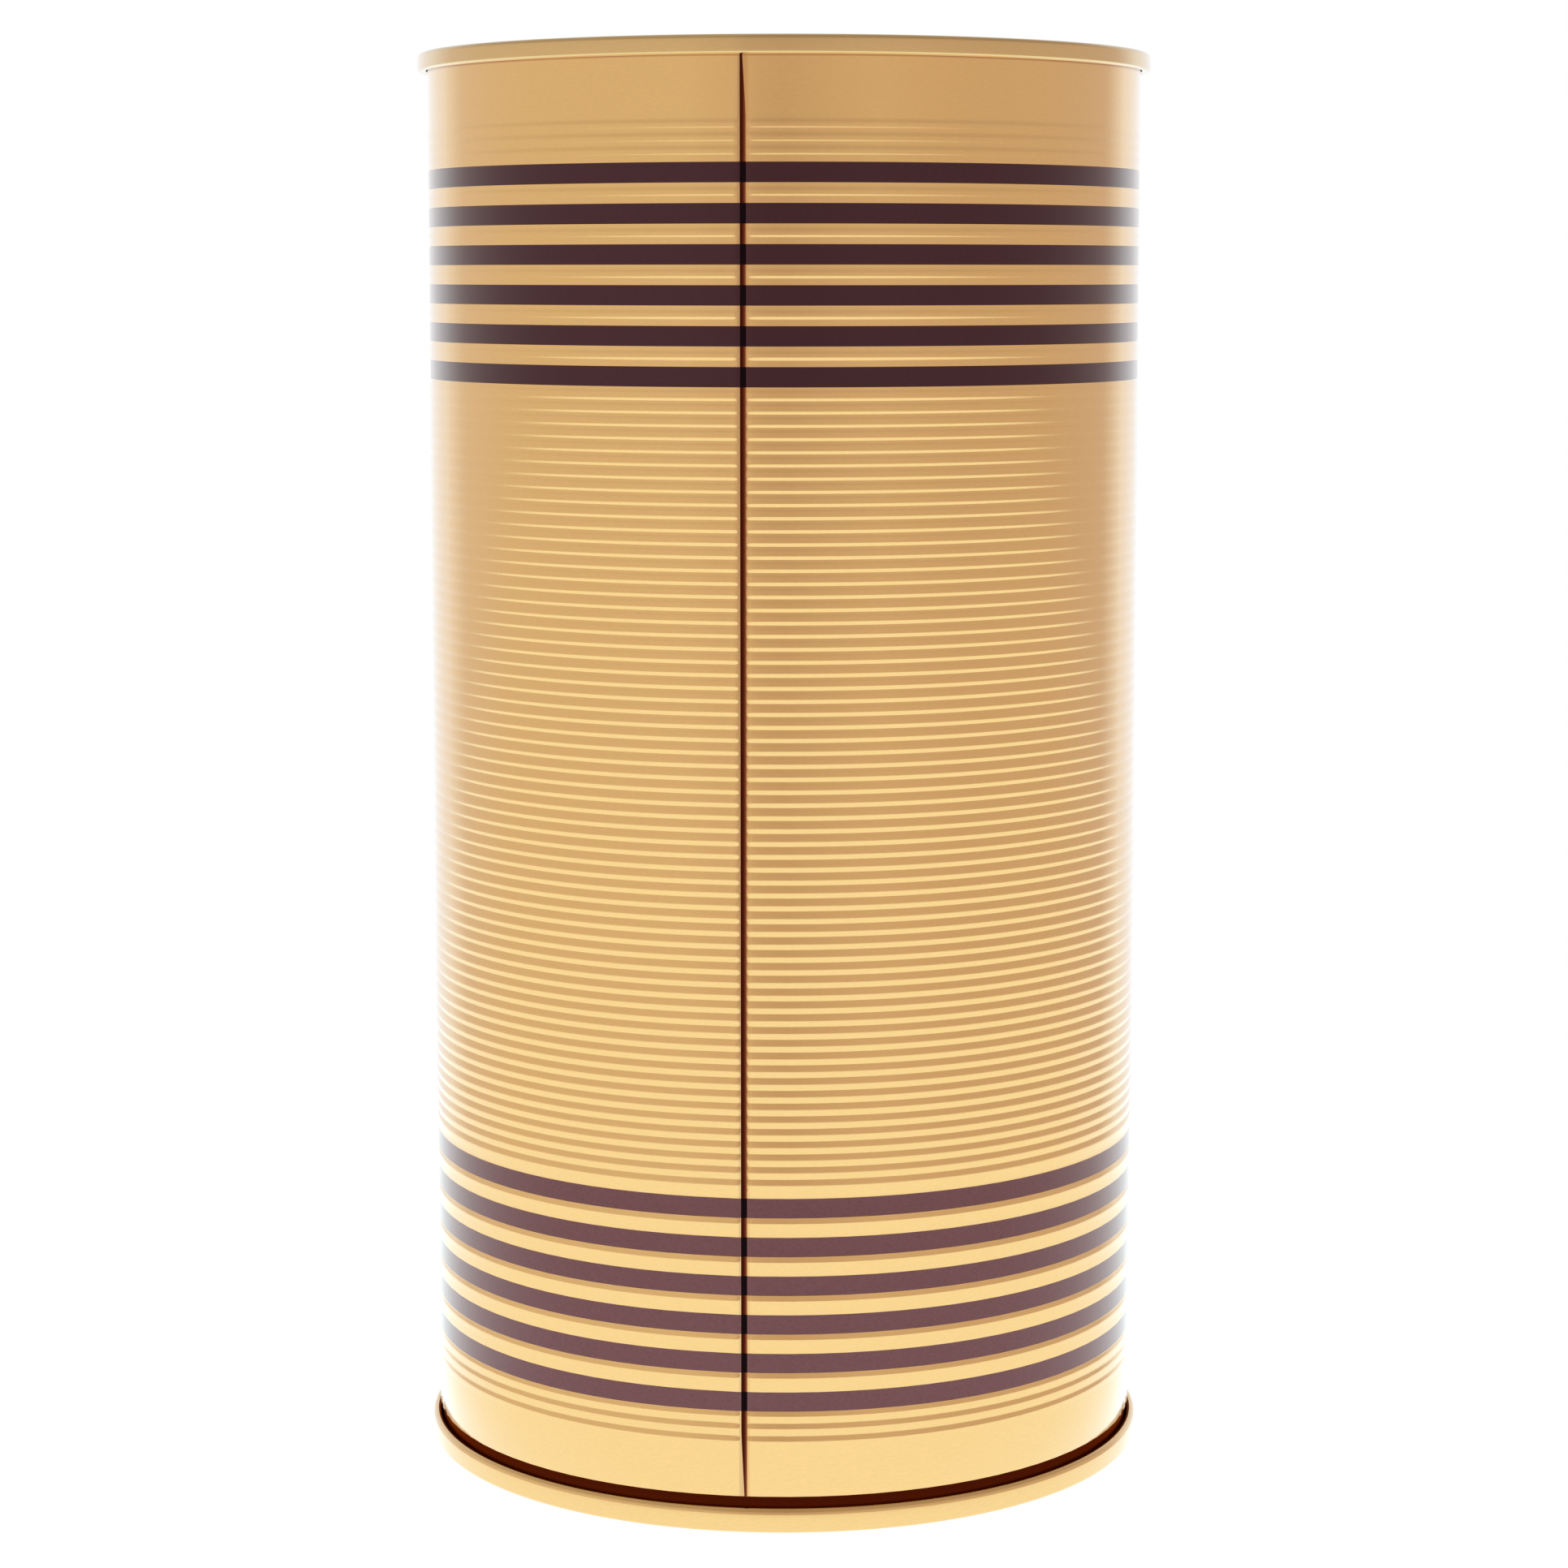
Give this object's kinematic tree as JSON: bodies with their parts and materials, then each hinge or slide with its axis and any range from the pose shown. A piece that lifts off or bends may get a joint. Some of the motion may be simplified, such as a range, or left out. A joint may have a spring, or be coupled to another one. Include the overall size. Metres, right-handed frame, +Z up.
{
  "type": "cookie tin",
  "caption": "Tall round tinplate tin with a finely ribbed wall between striped bands, a double-seamed top end, and a plug lid with a seamed rim at the bottom.",
  "frame": {"origin": "on the axis of the tin, at the level of the floor that the lid's seam stands on", "axes": "+Z up along the axis; -Y is the front, 6 degrees to the right of the wall's side seam; +X to the right seen from the front"},
  "size_m": [0.0854, 0.0854, 0.1635],
  "materials": {
    "gold_tinplate": "gold lacquer over bright tinplate, satin gloss",
    "lid_tinplate": "gold lacquer over bright tinplate, satin gloss",
    "seam_compound": "matt grey sealing compound"
  },
  "bodies": {
    "lid": {"lid_end": "lid_tinplate", "lid_collar": "lid_tinplate", "lid_seam_compound": "seam_compound"},
    "can": {"can_wall": "gold_tinplate", "top_end": "gold_tinplate", "top_seam_compound": "seam_compound"}
  },
  "joints": [
    {"name": "can_lift", "type": "slide", "parent": "lid", "child": "can", "axis": [0, 0, 1], "range_m": [0, 0.04]}
  ]
}
